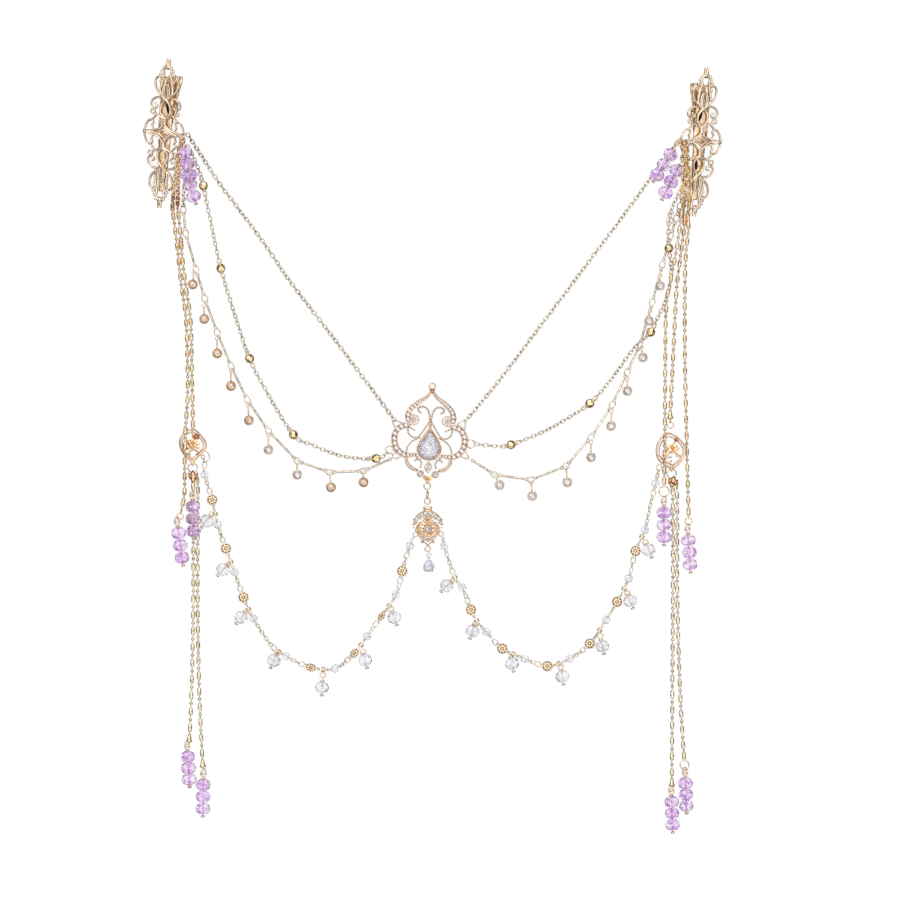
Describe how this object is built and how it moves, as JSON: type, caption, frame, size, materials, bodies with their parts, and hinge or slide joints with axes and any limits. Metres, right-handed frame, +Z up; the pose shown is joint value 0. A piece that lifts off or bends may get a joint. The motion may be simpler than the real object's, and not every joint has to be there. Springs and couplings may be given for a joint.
{
  "type": "face chain",
  "caption": "Face chain lying flat: filigree hair clips, beaded chains and a pear-stone ornament that drape across the face, with tassels of violet beads.",
  "frame": {"origin": "middle of the bounding box on the table it lies on", "axes": "+Y runs up the face from the tassel ends to the hair clips, +X to the side of the wearer's left clip as seen from the front, +Z up from the table towards the viewer"},
  "size_m": [0.2317, 0.3095, 0.0154],
  "materials": {
    "rose_metal": "polished rose-gold plating",
    "gold_metal": "polished gold plating",
    "violet_glass": "faceted, clear violet",
    "clear_glass": "faceted, colourless"
  },
  "bodies": {
    "frame": {"left_plate": "rose_metal", "left_clip": "rose_metal", "left_spring": "gold_metal", "right_plate": "rose_metal", "right_clip": "rose_metal", "right_spring": "gold_metal", "ornament": "rose_metal", "pear_stone": "clear_glass", "pendant": "rose_metal", "pear_drop": "clear_glass", "left_top_chain": "gold_metal", "right_top_chain": "gold_metal", "left_ball_chain": "gold_metal", "right_ball_chain": "gold_metal", "left_bar_chain": "gold_metal", "right_bar_chain": "gold_metal", "left_bar_drops": "clear_glass", "right_bar_drops": "clear_glass", "left_garland": "gold_metal", "right_garland": "gold_metal", "left_garland_drops": "clear_glass", "right_garland_drops": "clear_glass", "left_medallion": "rose_metal", "right_medallion": "rose_metal", "left_tassel_a": "gold_metal", "left_tassel_b": "gold_metal", "right_tassel_a": "gold_metal", "right_tassel_b": "gold_metal", "right_tassel_c": "gold_metal", "left_fall_a": "gold_metal", "left_fall_b": "gold_metal", "right_fall_a": "gold_metal", "right_fall_b": "gold_metal", "left_violet_front": "violet_glass", "left_violet_back": "violet_glass", "right_violet_front": "violet_glass", "right_violet_back": "violet_glass", "left_violet_tassel": "violet_glass", "left_violet_medallion": "violet_glass", "right_violet_tassel_a": "violet_glass", "right_violet_tassel_c": "violet_glass", "left_violet_fall_a": "violet_glass", "left_violet_fall_b": "violet_glass", "right_violet_fall_a": "violet_glass", "right_violet_fall_b": "violet_glass"},
    "left_lower_jaw": {"left_jaw": "rose_metal"},
    "right_lower_jaw": {"right_jaw": "rose_metal"}
  },
  "joints": [
    {"name": "left_clip_hinge", "type": "hinge", "parent": "frame", "child": "left_lower_jaw", "pos_m": [-0.10497, 0.1351, 0.00541], "axis": [0.897, -0.1293, 0.4226], "range_deg": [0, 20], "stiffness_Nm_per_rad": 0.03, "springref_deg": -45.84},
    {"name": "right_clip_hinge", "type": "hinge", "parent": "frame", "child": "right_lower_jaw", "pos_m": [0.10651, 0.13189, 0.00541], "axis": [0.9063, -0.0063, -0.4226], "range_deg": [0, 20], "stiffness_Nm_per_rad": 0.03, "springref_deg": -45.84}
  ]
}
